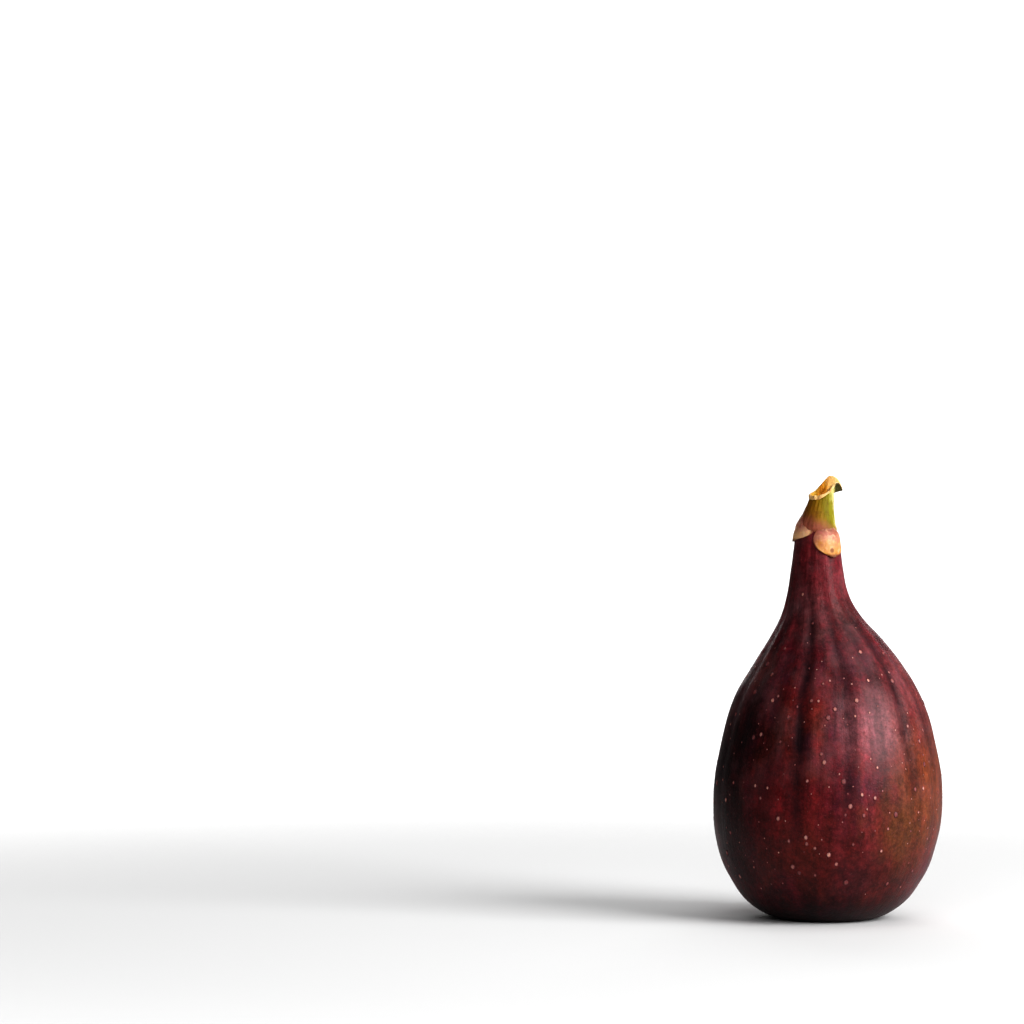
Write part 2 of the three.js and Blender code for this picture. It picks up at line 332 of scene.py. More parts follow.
def skinTree(s, material):
    tree, given = newTree("figSkin", {
        "Outline": "Object", "Grooves": "Object", "Sides": "Int", "Rows": "Int", "Widest": "Float",
        "Groove Depth": "Float", "Groove Width": "Float", "Groove Spread": "Float", "Groove Wander": "Float",
        "Swell Two": "Float", "Swell Three": "Float", "Lumps": "Float", "Wrinkles": "Float"})
    grid = addNode(tree, "GeometryNodeMeshGrid", {
        "Size X": 1.0, "Size Y": 1.0, "Vertices X": given["Sides"], "Vertices Y": given["Rows"]})
    column, row, _ = splitUp(tree, addNode(tree, "GeometryNodeInputPosition").outputs[0])
    angle = calc(tree, "MULTIPLY", column, 2 * math.pi)
    along = calc(tree, "ADD", row, 0.5)
    outline = addNode(tree, "GeometryNodeObjectInfo", {"Object": given["Outline"]}).outputs["Geometry"]
    traced = addNode(tree, "GeometryNodeSampleCurve", {"Curves": outline, "Factor": along})
    radius, lean, height = splitUp(tree, traced.outputs["Position"])

    def towards(turn):
        flipped = calc(tree, "MULTIPLY", calc(tree, "COSINE", turn), -1.0)
        return vectorOf(tree, calc(tree, "SINE", turn), flipped)

    outward = towards(angle)
    rise = calc(tree, "DIVIDE", height, given["Widest"])
    flow = vectorCalc(tree, "ADD", outward, vectorOf(tree, z=rise))

    # Noise that runs along the fruit, from -0.5 to 0.5
    def waves(across, up, detail):
        stretched = vectorCalc(tree, "MULTIPLY", flow, (across, across, up))
        return calc(tree, "SUBTRACT", noiseOf(tree, stretched, 1.0, detail), 0.5)

    # The nearest groove mark, after the grooves have wandered a little from straight
    wander = calc(tree, "MULTIPLY", waves(2.4, 1.3, 2.0), given["Groove Wander"])
    wandered = towards(calc(tree, "ADD", angle, wander))
    marks = addNode(tree, "GeometryNodeObjectInfo", {"Object": given["Grooves"]}).outputs["Geometry"]
    near = addNode(tree, "GeometryNodeProximity", {"Geometry": marks, "Sample Position": wandered},
                   target_element="POINTS").outputs["Distance"]
    nearest = addNode(tree, "GeometryNodeSampleNearest", {"Geometry": marks, "Sample Position": wandered},
                      domain="POINT").outputs[0]
    strength = addNode(tree, "GeometryNodeInputNamedAttribute", {"Name": "strength"}).outputs[0]
    strong = addNode(tree, "GeometryNodeSampleIndex", {
        "Geometry": marks, "Value": strength, "Index": nearest}).outputs[0]
    slim = calc(tree, "MAXIMUM", calc(tree, "DIVIDE", radius, given["Widest"]), 0.1)
    spread = calc(tree, "POWER", slim, calc(tree, "MULTIPLY", given["Groove Spread"], -1.0))
    share = calc(tree, "DIVIDE", near, calc(tree, "MULTIPLY", given["Groove Width"], spread))
    bell = calc(tree, "EXPONENT", calc(tree, "MULTIPLY", calc(tree, "MULTIPLY", share, share), -1.0))
    broken = calc(tree, "ADD", 0.85, calc(tree, "MULTIPLY", waves(3.0, 2.5, 2.0), 1.1))
    groove = calc(tree, "MULTIPLY", calc(tree, "MULTIPLY", bell, strong), broken)

    # Eases from low to high between two heights in the settings
    def climb(name, low=0.0, high=1.0):
        start, end = s[name]
        return ease(tree, height, start * mm, end * mm, low, high)

    # How deep the grooves are at each height
    risen = weighed(tree, climb("firstRise"), s["firstShare"], climb("secondRise"), 1 - s["firstShare"])
    depth = calc(tree, "MULTIPLY", risen, climb("neckFade", 1.0, s["neckShare"]))
    carved = calc(tree, "MULTIPLY", calc(tree, "MULTIPLY", groove, depth), given["Groove Depth"])

    # Out of round, lumps and wrinkles, all of them nothing at the foot and at the seat
    twoFold = calc(tree, "SINE", calc(tree, "MULTIPLY", angle, 2.0))
    threeFold = calc(tree, "COSINE", calc(tree, "MULTIPLY", angle, 3.0))
    swollen = weighed(tree, twoFold, given["Swell Two"], threeFold, given["Swell Three"])
    swollen = calc(tree, "MULTIPLY", swollen, slim)
    lumps = calc(tree, "MULTIPLY", waves(1.9, 2.2, 2.0), given["Lumps"])
    wrinkles = calc(tree, "MULTIPLY", calc(tree, "MULTIPLY", waves(11.0, 0.9, 4.0), given["Wrinkles"]),
                    climb("wrinkleRise", 0.35, 1.0))
    uneven = calc(tree, "ADD", calc(tree, "ADD", swollen, lumps), wrinkles)
    relief = calc(tree, "SUBTRACT", calc(tree, "MULTIPLY", uneven, climb("swellRise")), carved)
    relief = calc(tree, "MULTIPLY", relief, climb("seatFade", 1.0, 0.0))
    shifted = vectorCalc(tree, "SCALE", outward)
    tree.links.new(calc(tree, "ADD", radius, relief), shifted.node.inputs["Scale"])
    axis = vectorOf(tree, lean, z=height)
    flat = storeValue(tree, grid.outputs["Mesh"], "UVMap", grid.outputs["UV Map"], "FLOAT2", "CORNER")
    flat = storeValue(tree, flat, "flow", flow, "FLOAT_VECTOR")
    flat = storeValue(tree, flat, "groove", groove)
    moved = addNode(tree, "GeometryNodeSetPosition", {
        "Geometry": flat, "Position": vectorCalc(tree, "ADD", axis, shifted)}).outputs[0]
    closed = addNode(tree, "GeometryNodeMergeByDistance", {
        "Geometry": moved, "Distance": 0.002 * mm}).outputs[0]
    endTree(tree, addNode(tree, "GeometryNodeSetShadeSmooth", {"Geometry": closed}).outputs[0], material)
    return tree


def buildSkin(s, material):
    tree = skinTree(s, material)
    outline = outlineCurve(s)
    marks = grooveMarks(s)
    skin = meshFromTree("figSkin", tree, {
        "Outline": outline, "Grooves": marks, "Sides": s["sides"] + 1, "Rows": s["rows"],
        "Widest": s["widest"] * mm, "Groove Depth": s["grooveDepth"] * mm, "Groove Width": s["grooveWidth"],
        "Groove Spread": s["grooveSpread"], "Groove Wander": s["grooveWander"],
        "Swell Two": s["swellTwo"] * mm, "Swell Three": s["swellThree"] * mm,
        "Lumps": s["lumps"] * mm, "Wrinkles": s["wrinkles"] * mm})
    bpy.data.objects.remove(outline)
    bpy.data.objects.remove(marks)
    return skin


skinColours = {
    "streaks": [(0.3, "#1d070c"), (0.43, "#380c12"), (0.54, "#4e131a"), (0.66, "#611a22"), (0.8, "#6e262a")],
    # groove: the skin's darker colour in the grooves, partly painted shade
    "groove": "#150910",
    "bloom": "#8e6064",
    # under: the skin grows darker towards the bottom, with painted shade just above the floor
    "under": "#100405",
    "speck": "#8e5050",
    # fineness, colour and strength of the slow drifts in hue
    "drifts": [(0.22, "#41182e", 0.5), (0.17, "#683020", 0.55), (0.3, "#7c2622", 0.4)],
    # middle as angle and height, reach, colour and strength of the broad patches; some are painted light, as
    # noted below
    "patches": [
        (-32, 16, 13, "#6e1a1c", 0.7), (-12, 12, 9, "#5e2418", 0.5), (14, 7, 7, "#3c1a30", 0.5),
        # The dark patch at -62 degrees and 32 mm is painted shade on the left side
        (60, 21, 16, "#6e3a20", 0.85), (30, 8, 13, "#56261c", 0.6), (-62, 32, 13, "#2c1012", 0.7),
        # The pale pinkish-grey patch at 18 degrees and 31 mm is a painted highlight
        (18, 31, 9, "#8c5a60", 0.65), (35, 55, 8, "#701c26", 0.8), (-60, 54, 8, "#582428", 0.75),
        (-18, 36, 6, "#701a1e", 0.5), (-24, 45, 8, "#543a3a", 0.6), (36, 15, 9, "#6c4224", 0.75),
        # The dark patches at -58 and -90 degrees are painted shade on the left side, the one at -90 the
        # deepest
        (20, 17, 6, "#58341c", 0.5), (-58, 12, 12, "#2a0c0e", 0.6), (-90, 22, 18, "#120507", 0.9),
        (150, 20, 16, "#6a2a1a", 0.5), (-150, 24, 13, "#451018", 0.5), (62, 38, 12, "#7e4444", 0.42),
        # The grey patch at -50 degrees and 42 mm is partly bloom and partly painted sheen from the light
        # above
        (-50, 42, 8, "#6e484a", 0.6),
    ],
}


def skinMaterial(s, c):
    material, tree, shader = newMaterial(
        "figSkin", IOR=1.4, Sheen_Weight=0.02, Sheen_Roughness=0.5, Subsurface_Weight=0.04,
        Subsurface_Scale=0.4 * mm, Specular_IOR_Level=0.27)
    place = millimetres(tree)
    flow = attribute(tree, "flow", "Vector")
    groove = attribute(tree, "groove")
    side, _, height = splitUp(tree, place)

    inNeck = ease(tree, height, 38, 52)
    streaky = calc(tree, "MULTIPLY", ease(tree, height, 8, 26, 0.45, 1.0),
                   ease(tree, height, 40, 52, 1.0, 0.6))

    # Noise drawn out along the fruit, and coarser round the slim neck
    def streaks(across, up, detail):
        coarse = calc(tree, "MULTIPLY_ADD", inNeck, -0.55 * across, across)
        stretch = vectorOf(tree, coarse, coarse, up)
        return noiseOf(tree, vectorCalc(tree, "MULTIPLY", flow, stretch), 1.0, detail)

    # The colour made darker and lighter by the value, at most by the share that depth gives
    def shaded(colour, value, depth):
        swing = calc(tree, "MULTIPLY", ease(tree, value, 0.3, 0.7, -1.0, 1.0), depth)
        grey = calc(tree, "ADD", 1.0, swing)
        grey = addNode(tree, "ShaderNodeCombineColor", {0: grey, 1: grey, 2: grey}).outputs[0]
        return mixColour(tree, 1.0, colour, grey, "MULTIPLY")

    mottle = noiseOf(tree, place, 0.38, 5.0, 0.62)       # blotches a few millimetres wide
    grain = noiseOf(tree, place, 1.9, 4.0, 0.65)
    broad = weighed(tree, streaks(3.0, 0.55, 5.0), 0.6, mottle, 0.4)
    colour = ramp(tree, calc(tree, "ADD", 0.55, centred(tree, broad, 1.5)), *c["streaks"])
    onBody = ease(tree, height, 36, 46, 1.0, 0.3)
    for index, (scale, hexColour, strength) in enumerate(c["drifts"]):
        moved = vectorCalc(tree, "ADD", place, (31.0 * index, 17.0, 5.0))
        drawnOut = vectorCalc(tree, "MULTIPLY", moved, (scale, scale, scale * 0.45))
        drift = noiseOf(tree, drawnOut, 1.0, 3.0, 0.6)
        drift = calc(tree, "MULTIPLY", ease(tree, drift, 0.48, 0.68, 0.0, strength), onBody)
        colour = mixColour(tree, drift, colour, rgb(hexColour))
    # Some of these patches are painted shade on the left, a painted highlight and painted sheen, as noted in
    # the settings
    for angle, level, reach, hexColour, strength in c["patches"]:
        turn = math.radians(angle)
        out = s["widest"] * 0.9 if level < 45 else 4.5       # near the skin, on the body or on the neck
        lean = 1.8 if level > 45 else 0
        middle = (out * math.sin(turn) - lean, -out * math.cos(turn), level)
        far = vectorCalc(tree, "DISTANCE", place, middle, output=1)
        ragged = calc(tree, "ADD", far, centred(tree, broad, 16.0))
        cover = ease(tree, ragged, 0.15 * reach, reach, strength, 0.0)
        colour = mixColour(tree, cover, colour, rgb(hexColour))
    colour = shaded(colour, streaks(9.0, 1.4, 5.0), calc(tree, "MULTIPLY", streaky, 0.27))
    colour = shaded(colour, streaks(26.0, 4.0, 4.0), calc(tree, "MULTIPLY", streaky, 0.12))
    colour = shaded(colour, noiseOf(tree, place, 0.75, 4.0, 0.6), 0.22)
    colour = shaded(colour, grain, 0.27)
    specks = ease(tree, noiseOf(tree, place, 3.3, 2.0, 0.5), 0.6, 0.76, 0.0, 0.3)
    colour = mixColour(tree, specks, colour, rgb(c["speck"]))

    # Darker in the grooves, partly the skin's own colour and partly painted shade in these hollows, most on
    # the shoulder, and less of it on the right, lit side
    dark = calc(tree, "MULTIPLY", calc(tree, "POWER", calc(tree, "MAXIMUM", groove, 0.0), 0.95),
                calc(tree, "MULTIPLY", ease(tree, height, 8, 24), ease(tree, height, 42, 52, 1.1, 0.15)))
    dark = calc(tree, "MULTIPLY", dark, ease(tree, mottle, 0.3, 0.55, 0.5, 1.0), clamp=True)
    # Less painted shade in the grooves on the right, lit side
    dark = calc(tree, "MULTIPLY", dark, ease(tree, side, 5, 13, 1.0, 0.7))
    colour = mixColour(tree, calc(tree, "MULTIPLY", dark, 0.9), colour, rgb(c["groove"]))

    # Bloom on the ribs, then the skin darker towards the bottom, with painted shade just above the floor
    haze = calc(tree, "MULTIPLY", ease(tree, noiseOf(tree, place, 0.16, 4.0, 0.6), 0.42, 0.68),
                calc(tree, "SUBTRACT", 1.0, dark, clamp=True))
    haze = calc(tree, "MULTIPLY", haze, ease(tree, height, 12, 34, 0.05, 0.26))
    colour = mixColour(tree, haze, colour, rgb(c["bloom"]))
    colour = mixColour(tree, ease(tree, height, 4, 24, 0.3, 0.0), colour, rgb(c["under"]))
    # Painted shade just above the floor, where the fruit meets it
    colour = mixColour(tree, ease(tree, height, 0.3, 6, 0.8, 0.0), colour, rgb(c["under"]))
    tree.links.new(colour, shader.inputs["Base Color"])

    # Duller where there is bloom, and finely rippled
    rough = calc(tree, "ADD", 0.34, calc(tree, "MULTIPLY", haze, 0.4))
    tree.links.new(calc(tree, "ADD", rough, calc(tree, "MULTIPLY", grain, 0.2)), shader.inputs["Roughness"])
    pores = noiseOf(tree, place, 3.4, 3.0, 0.6)
    bumpFrom(tree, shader, weighed(tree, streaks(26.0, 3.0, 4.0), 0.6, pores, 0.5), 0.1, 0.9)
    return material


skin = buildSkin(skinSet, skinMaterial(skinSet, skinColours))
say(f"skin built, {len(skin.data.polygons)} faces")

# Lenticels: small pale flecks that stand just proud of the skin

fleckSet = {
    "spacing": 1.0,
    "density": 0.13,           # at most so many a square millimetre
    "small": 0.12,
    "large": 0.42,
    "flatness": 0.16,          # height as a share of the radius
    "stretch": 1.25,           # length up the fruit as a share of the width
    "seed": 21,
    "colours": [(0.0, "#40141a"), (0.35, "#7c3e3e"), (1.0, "#cc9c8c")],
}


def fleckTree(material):
    tree, given = newTree("figFlecks", {
        "Spacing": "Float", "Density": "Float", "Small": "Float", "Large": "Float", "Flatness": "Float",
        "Stretch": "Float", "Seed": "Int"})
    spread = addNode(tree, "GeometryNodeDistributePointsOnFaces", distribute_method="POISSON")
    height = splitUp(tree, addNode(tree, "GeometryNodeInputPosition").outputs[0])[2]
    onBody = calc(tree, "MULTIPLY", ease(tree, height, 3 * mm, 9 * mm),
                  ease(tree, height, 38 * mm, 52 * mm, 1.0, 0.15))
    for key, value in {"Mesh": given["Geometry"], "Distance Min": given["Spacing"],
                       "Density Max": given["Density"], "Density Factor": onBody,
                       "Seed": given["Seed"]}.items():
        wire(tree, value, spread.inputs[key])
    ball = addNode(tree, "GeometryNodeMeshUVSphere", {
        "Segments": 10, "Rings": 5, "Radius": 1.0}).outputs["Mesh"]
    crown = splitUp(tree, addNode(tree, "GeometryNodeInputPosition").outputs[0])[2]
    ball = storeValue(tree, ball, "crown", crown)
    ball = addNode(tree, "GeometryNodeSetShadeSmooth", {"Geometry": ball}).outputs[0]

    def drawn(low, high, offset):
        node = addNode(tree, "FunctionNodeRandomValue", data_type="FLOAT")
        wire(tree, low, node.inputs[2])
        wire(tree, high, node.inputs[3])
        wire(tree, calc(tree, "ADD", given["Seed"], float(offset)), node.inputs["Seed"])
        return node.outputs[1]

    chance = calc(tree, "POWER", drawn(0.0, 1.0, 1), 3.0)      # most of them small
    size = addNode(tree, "ShaderNodeMapRange", {"Value": chance})
    wire(tree, given["Small"], size.inputs["To Min"])
    wire(tree, given["Large"], size.inputs["To Max"])
    radius = size.outputs[0]
    scale = vectorOf(tree, radius, calc(tree, "MULTIPLY", radius, given["Stretch"]),
                     calc(tree, "MULTIPLY", radius, given["Flatness"]))
    facing = addNode(tree, "FunctionNodeAxesToRotation", {
        "Primary Axis": spread.outputs["Normal"], "Secondary Axis": (0.0, 0.0, 1.0)},
        primary_axis="Z", secondary_axis="Y").outputs[0]
    placed = addNode(tree, "GeometryNodeInstanceOnPoints", {
        "Points": spread.outputs["Points"], "Instance": ball, "Rotation": facing, "Scale": scale}).outputs[0]
    tinted = storeValue(tree, placed, "tint", drawn(0.0, 1.0, 2), domain="INSTANCE")
    endTree(tree, tinted, material)
    return tree


def fleckMaterial(c):
    material, tree, shader = newMaterial("figLenticel", Roughness=0.6, Subsurface_Weight=0.15,
                                         Subsurface_Scale=0.3 * mm)
    place = millimetres(tree)
    tint = attribute(tree, "tint")
    crown = attribute(tree, "crown")
    grain = noiseOf(tree, place, 6.0, 2.0)
    pale = calc(tree, "MULTIPLY", calc(tree, "ADD", 0.35, calc(tree, "MULTIPLY", tint, 0.65)),
                ease(tree, calc(tree, "ADD", crown, calc(tree, "MULTIPLY", grain, 0.3)), 0.35, 1.3))
    tree.links.new(ramp(tree, pale, *c), shader.inputs["Base Color"])
    bumpFrom(tree, shader, grain, 0.03, 0.6)
    return material


def buildFlecks(s):
    tree = fleckTree(fleckMaterial(s["colours"]))
    return meshFromTree("figLenticels", tree, {
        "Spacing": s["spacing"] * mm, "Density": s["density"] / mm ** 2, "Small": s["small"] * mm,
        "Large": s["large"] * mm, "Flatness": s["flatness"], "Stretch": s["stretch"], "Seed": s["seed"]},
        source=skin.data.copy())


flecks = buildFlecks(fleckSet)
say(f"lenticels scattered, {len(flecks.data.polygons)} faces")

# Eye: rings of small pointed scales in the hollow of the foot

eyeSet = {
    # how many scales, then where their bases stand: radius and height, their length and how they dip
    "rings": [(11, 2.5, 0.42, 1.3, 0.05), (8, 1.85, 0.6, 1.2, 0.12), (5, 1.15, 0.7, 1.05, 0.15)],
    "lean": -0.3,
    "width": 0.74,
    "thickness": 0.11,
    "uneven": 0.25,            # shortest scale is shorter by this share
    "seed": 5,
}


def eyeTree(s, material):
    tree, given = newTree("figEye", {
        "Width": "Float", "Thickness": "Float", "Uneven": "Float", "Seed": "Int"})
    blade = addNode(tree, "GeometryNodeMeshCone", {
        "Vertices": 10, "Side Segments": 4, "Radius Top": 0.0, "Radius Bottom": 1.0,
        "Depth": 1.0}).outputs["Mesh"]
    blade = addNode(tree, "GeometryNodeSetShadeSmooth", {"Geometry": blade}).outputs[0]
    joined = addNode(tree, "GeometryNodeJoinGeometry")
    for count, radius, height, length, dip in s["rings"]:
        circle = addNode(tree, "GeometryNodeMeshCircle", {
            "Vertices": count, "Radius": radius * mm}).outputs["Mesh"]
        spot = addNode(tree, "GeometryNodeInputPosition").outputs[0]
        inward = vectorCalc(tree, "SUBTRACT", (0, 0, -dip), vectorCalc(tree, "NORMALIZE", spot))
        facing = addNode(tree, "FunctionNodeAxesToRotation", {
            "Primary Axis": inward, "Secondary Axis": (0.0, 0.0, 1.0)},
            primary_axis="Z", secondary_axis="Y").outputs[0]
        stretch = addNode(tree, "FunctionNodeRandomValue", data_type="FLOAT")
        wire(tree, calc(tree, "SUBTRACT", 1.0, given["Uneven"]), stretch.inputs[2])
        stretch.inputs[3].default_value = 1.0
        wire(tree, given["Seed"], stretch.inputs["Seed"])
        size = vectorOf(tree, given["Width"], given["Thickness"],
                        calc(tree, "MULTIPLY", stretch.outputs[1], length * mm))
        ring = addNode(tree, "GeometryNodeInstanceOnPoints", {
            "Points": circle, "Instance": blade, "Rotation": facing, "Scale": size}).outputs[0]
        shift = Vector((s["lean"], 0, height)) * mm
        ring = addNode(tree, "GeometryNodeTransform", {"Geometry": ring, "Translation": shift}).outputs[0]
        tree.links.new(ring, joined.inputs[0])
    endTree(tree, joined.outputs[0], material)
    return tree


def eyeMaterial():
    material, tree, shader = newMaterial("figEyeScale", Roughness=0.6)
    place = millimetres(tree)
    mottle = noiseOf(tree, place, 1.6, 4.0, 0.6)
    fibre = noiseOf(tree, place, 6.0, 3.0)
    tone = weighed(tree, mottle, 0.6, fibre, 0.4)
    colour = ramp(tree, tone, (0.3, "#260c0c"), (0.5, "#5c2820"), (0.7, "#8e5040"))
    tree.links.new(colour, shader.inputs["Base Color"])
    bumpFrom(tree, shader, fibre, 0.04, 0.7)
    return material


def buildEye(s):
    tree = eyeTree(s, eyeMaterial())
    return meshFromTree("figEyeScales", tree, {
        "Width": s["width"] * mm, "Thickness": s["thickness"] * mm, "Uneven": s["uneven"], "Seed": s["seed"]})


eye = buildEye(eyeSet)
say(f"eye scales built, {len(eye.data.polygons)} faces")

# Stalk: a tube with a flared, oblique cut, a cupped cut face and one lip that curls over

stalkSet = {
    "sides": 144,
    "stepsPerKnot": 6,
    # height, lean and radius of the stem from its seat up
    "rings": [(60.75, -1.8, 3.05), (61.3, -1.8, 3.2), (62.2, -1.78, 2.95), (63.3, -1.6, 2.65),
              (64.9, -1.26, 2.2), (65.9, -1.08, 2.0)],
    # top edge of the cut: angle on the stem, then x, y and height, from the low left tip round the front
    "rim": [
        (-90, -3.0, -0.2, 66.85), (-75, -2.93, -0.65, 66.75), (-60, -2.73, -1.08, 66.68),
        (-45, -2.4, -1.44, 66.65), (-30, -2.0, -1.72, 66.65), (-15, -1.5, -1.88, 66.7),
        (0, -1.0, -1.92, 66.85), (15, -0.45, -1.86, 67.05), (30, 0.02, -1.68, 67.35),
        (45, 0.42, -1.42, 67.75), (60, 0.76, -1.15, 68.2), (71, 1.08, -0.98, 68.6),
        (79, 1.6, -0.8, 68.72), (86, 2.05, -0.48, 68.05), (92, 2.16, -0.1, 67.62),
        (98, 2.12, 0.3, 68.2), (107, 1.8, 0.6, 69.0), (120, 1.25, 0.88, 69.6),
        (135, 0.6, 1.15, 69.78), (150, -0.02, 1.35, 69.42), (165, -0.55, 1.48, 68.9),
        (180, -1.0, 1.52, 68.38), (195, -1.5, 1.46, 67.85), (210, -2.0, 1.3, 67.4),
        (225, -2.4, 1.02, 67.12), (240, -2.73, 0.66, 66.98), (255, -2.93, 0.24, 66.9),
        (270, -3.0, -0.2, 66.85),
    ],
    "throat": (-1.0, -0.2, 1.84, 1.64),      # middle and half widths of the stem just under its cut
    "floor": (-0.75, -0.1, 67.15),
    # knots from the rim to that floor: share of the way, drop, and rise at the lip
    "cup": [(0.34, 0.4, 0.75), (0.66, 0.45, 0.6), (0.88, 0.2, 0)],
    "band": 0.68,                            # height of the pale band under the rim
    "lipAngle": 90,
    "lipReach": 17,
    "fibres": 0.09,
    "rimWave": (0.1, 0.14),                  # outwards and upwards
    "roughCut": 0.2,
}


# From b to c as t goes from 0 to 1, on the smooth curve through all four
def catmull(a, b, c, d, t):
    square = (2 * a - 5 * b + 4 * c - d) * t * t
    cube = (3 * b - a - 3 * c + d) * t ** 3
    return 0.5 * (2 * b + (c - a) * t + square + cube)


# A point on a smooth open curve through the points, with share from 0 to 1
def onPath(points, share):
    spans = len(points) - 1
    at = min(share * spans, spans - 1e-6)
    index = int(at)
    before, after = max(index - 1, 0), min(index + 2, spans)
    return catmull(points[before], points[index], points[index + 1], points[after], at - index)


def around(angle, radius, lean, height):
    return Vector((lean + radius * math.sin(angle), -radius * math.cos(angle), height))


def smoothstep(value, start, end):
    share = min(max((value - start) / (end - start), 0), 1)
    return share * share * (3 - 2 * share)


# The rim's top edge at an angle from -90 to 270 on the stem
def rimPoint(rim, degrees):
    count = len(rim) - 1
    index = max(i for i in range(count) if rim[i][0] <= degrees)
    knots = [Vector(rim[(index + step) % count][1:]) for step in (-1, 0, 1, 2)]
    return catmull(*knots, (degrees - rim[index][0]) / (rim[index + 1][0] - rim[index][0]))


# Quads between rings of points, then the two fans to the middles that follow the rings
def ringFaces(sides, rows, start=0):
    faces = []
    bottom = start + rows * sides
    last = bottom - sides
    for side in range(sides):
        after = (side + 1) % sides
        for low in range(start, last, sides):
            faces.append((low + side, low + after, low + sides + after, low + sides + side))
        faces.append((bottom, start + after, start + side))
        faces.append((bottom + 1, last + side, last + after))
    return faces


def ringMiddle(points, start, sides):
    return sum(points[start:start + sides], Vector()) / sides


# Knots of the stem's surface at one angle. 0 is its seat, 5 the end of the wall, 9 the foot of the
# pale band, 11 the rim and 15 the last one before the floor of the cut.
def stemColumn(s, degrees):
    angle = math.radians(degrees)
    up = Vector((0, 0, 1))
    wall = [around(angle, radius, lean, height) for height, lean, radius in s["rings"]]
    rim = rimPoint(s["rim"], degrees)
    floor = Vector(s["floor"])
    away = Vector((rim.x - floor.x, rim.y - floor.y, 0)).normalized()
    lip = math.exp(-((degrees - s["lipAngle"]) / s["lipReach"]) ** 4)
    middleX, middleY, halfX, halfY = s["throat"]
    throat = Vector((middleX + halfX * math.sin(angle), middleY - halfY * math.cos(angle), 0))
    band = s["band"] * (1 - 0.5 * smoothstep(degrees, -20, 25) - 0.1 * lip)
    low = rim - up * band + away * 0.06
    throat.z = wall[-1].z + (low.z - wall[-1].z) * 0.72
    tuck = low.lerp(throat, 0.3) - away * 0.12 + up * 0.02
    return wall + [
        wall[-1].lerp(throat, 0.5), throat, tuck, low, rim.lerp(low, 0.4) + away * 0.05, rim - away * 0.06,
        rim - away * 0.28 - up * 0.1] + [
        rim.lerp(floor, share) + up * (rise * lip - drop) for share, drop, rise in s["cup"]]


def buildStem(s, material):
    angles = [-90 + 360 * side / s["sides"] for side in range(s["sides"])]
    columns = [stemColumn(s, degrees) for degrees in angles]
    knots = len(columns[0])
    rows = (knots - 1) * s["stepsPerKnot"] + 1
    waveOut, waveUp = s["rimWave"]
    points, levels = [], []
    for row in range(rows):
        level = row / s["stepsPerKnot"]
        for degrees, column in zip(angles, columns):
            angle = math.radians(degrees)
            outward = around(angle, 1, 0, 0)
            point = onPath(column, level / (knots - 1))
            # levels count the knots of a column
            onWall = smoothstep(level, 0.5, 1.5) * (1 - smoothstep(level, 7.5, 8.5))
            onRim = smoothstep(level, 7.6, 9) * (1 - smoothstep(level, 11, 12.5))
            onCut = smoothstep(level, 11.4, 13)
            turned = outward * 3.2 + Vector((0, 0, point.z * 0.22))
            ridge = noise.fractal(turned, 0.8, 2, 3)
            wavy = noise.fractal(outward * 3.4 + Vector((0, 0, 4.2)), 0.9, 2, 2)
            torn = noise.fractal(point * 1.5, 0.9, 2, 4)
            point += outward * (ridge * s["fibres"] * onWall + wavy * waveOut * onRim)
            point.z += wavy * waveUp * onRim + torn * s["roughCut"] * onCut
            points.append(point)
            levels.append(level)
    for start, level in ((0, 0.0), ((rows - 1) * s["sides"], float(knots - 1))):
        points.append(ringMiddle(points, start, s["sides"]))
        levels.append(level)
    obj = smoothMesh("figStem", points, ringFaces(s["sides"], rows), material)
    pointValues(obj, "level", levels)
    return obj


